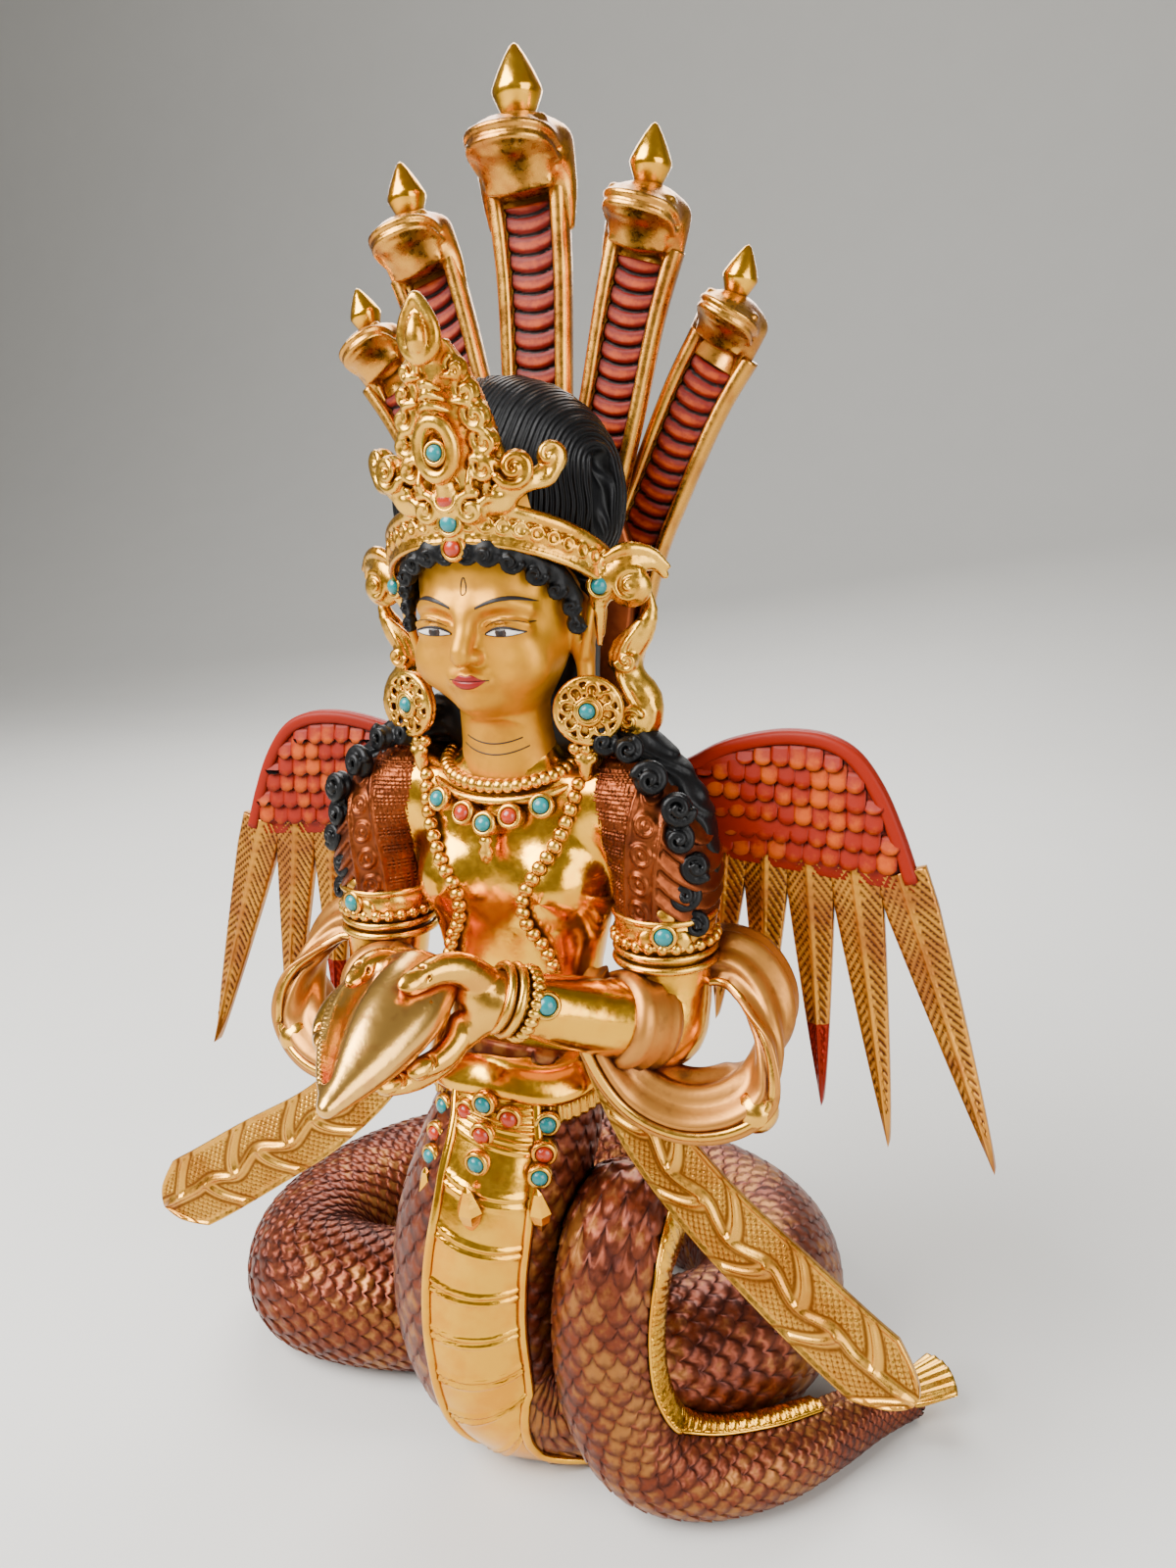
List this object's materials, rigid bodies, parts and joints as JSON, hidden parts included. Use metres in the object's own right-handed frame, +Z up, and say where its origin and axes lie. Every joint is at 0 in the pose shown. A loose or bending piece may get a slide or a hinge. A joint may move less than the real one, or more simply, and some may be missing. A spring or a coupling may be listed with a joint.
{
  "type": "naga statue",
  "caption": "Winged serpent maiden rising from her own flat coiled tail, with a hood of snakes behind her head, offering a conch in joined hands.",
  "frame": {"origin": "on the flat underside, below the figure's waist", "axes": "+Z up, the figure faces -Y, her left hand is on the +X side"},
  "size_m": [0.1456, 0.1172, 0.2204],
  "materials": {
    "gilt_copper": "fire-gilded copper, burnished on the swellings, reddish wash in the recesses",
    "brown_copper": "oxidised reddish-brown copper with rubbed scale edges",
    "cold_gold": "matt gold paint on the face and neck, with painted features",
    "black_hair": "satin black paint on the hair",
    "red_paint": "thin red and orange paint over carved metal, worn on the ridges",
    "turquoise": "polished turquoise cabochon",
    "coral": "polished coral cabochon"
  },
  "bodies": {
    "root": {"naga_figure": "gilt_copper", "naga_hood": "gilt_copper", "wing_left": "red_paint", "wing_right": "red_paint", "stone_crown_turquoise": "turquoise", "stone_brow_coral_upper": "coral", "stone_brow_turquoise": "turquoise", "stone_brow_coral_lower": "coral", "stone_temple_turquoise_left": "turquoise", "stone_temple_turquoise_right": "turquoise", "stone_earring_turquoise_left": "turquoise", "stone_earring_turquoise_right": "turquoise", "stone_necklace_turquoise_left": "turquoise", "stone_necklace_turquoise_right": "turquoise", "stone_necklace_coral_left": "coral", "stone_necklace_coral_right": "coral", "stone_necklace_centre": "turquoise", "stone_armband_turquoise_left": "turquoise", "stone_armband_turquoise_right": "turquoise", "stone_bracelet_turquoise_left": "turquoise", "stone_bracelet_turquoise_right": "turquoise", "stone_belt_side_upper_left": "turquoise", "stone_belt_side_upper_right": "turquoise", "stone_belt_side_middle_left": "coral", "stone_belt_side_middle_right": "coral", "stone_belt_side_lower_left": "turquoise", "stone_belt_side_lower_right": "turquoise", "stone_belt_coral_left": "coral", "stone_belt_coral_right": "coral", "stone_belt_centre_upper": "turquoise", "stone_belt_centre_coral": "coral", "stone_belt_centre_lower": "turquoise"}
  },
  "joints": []
}
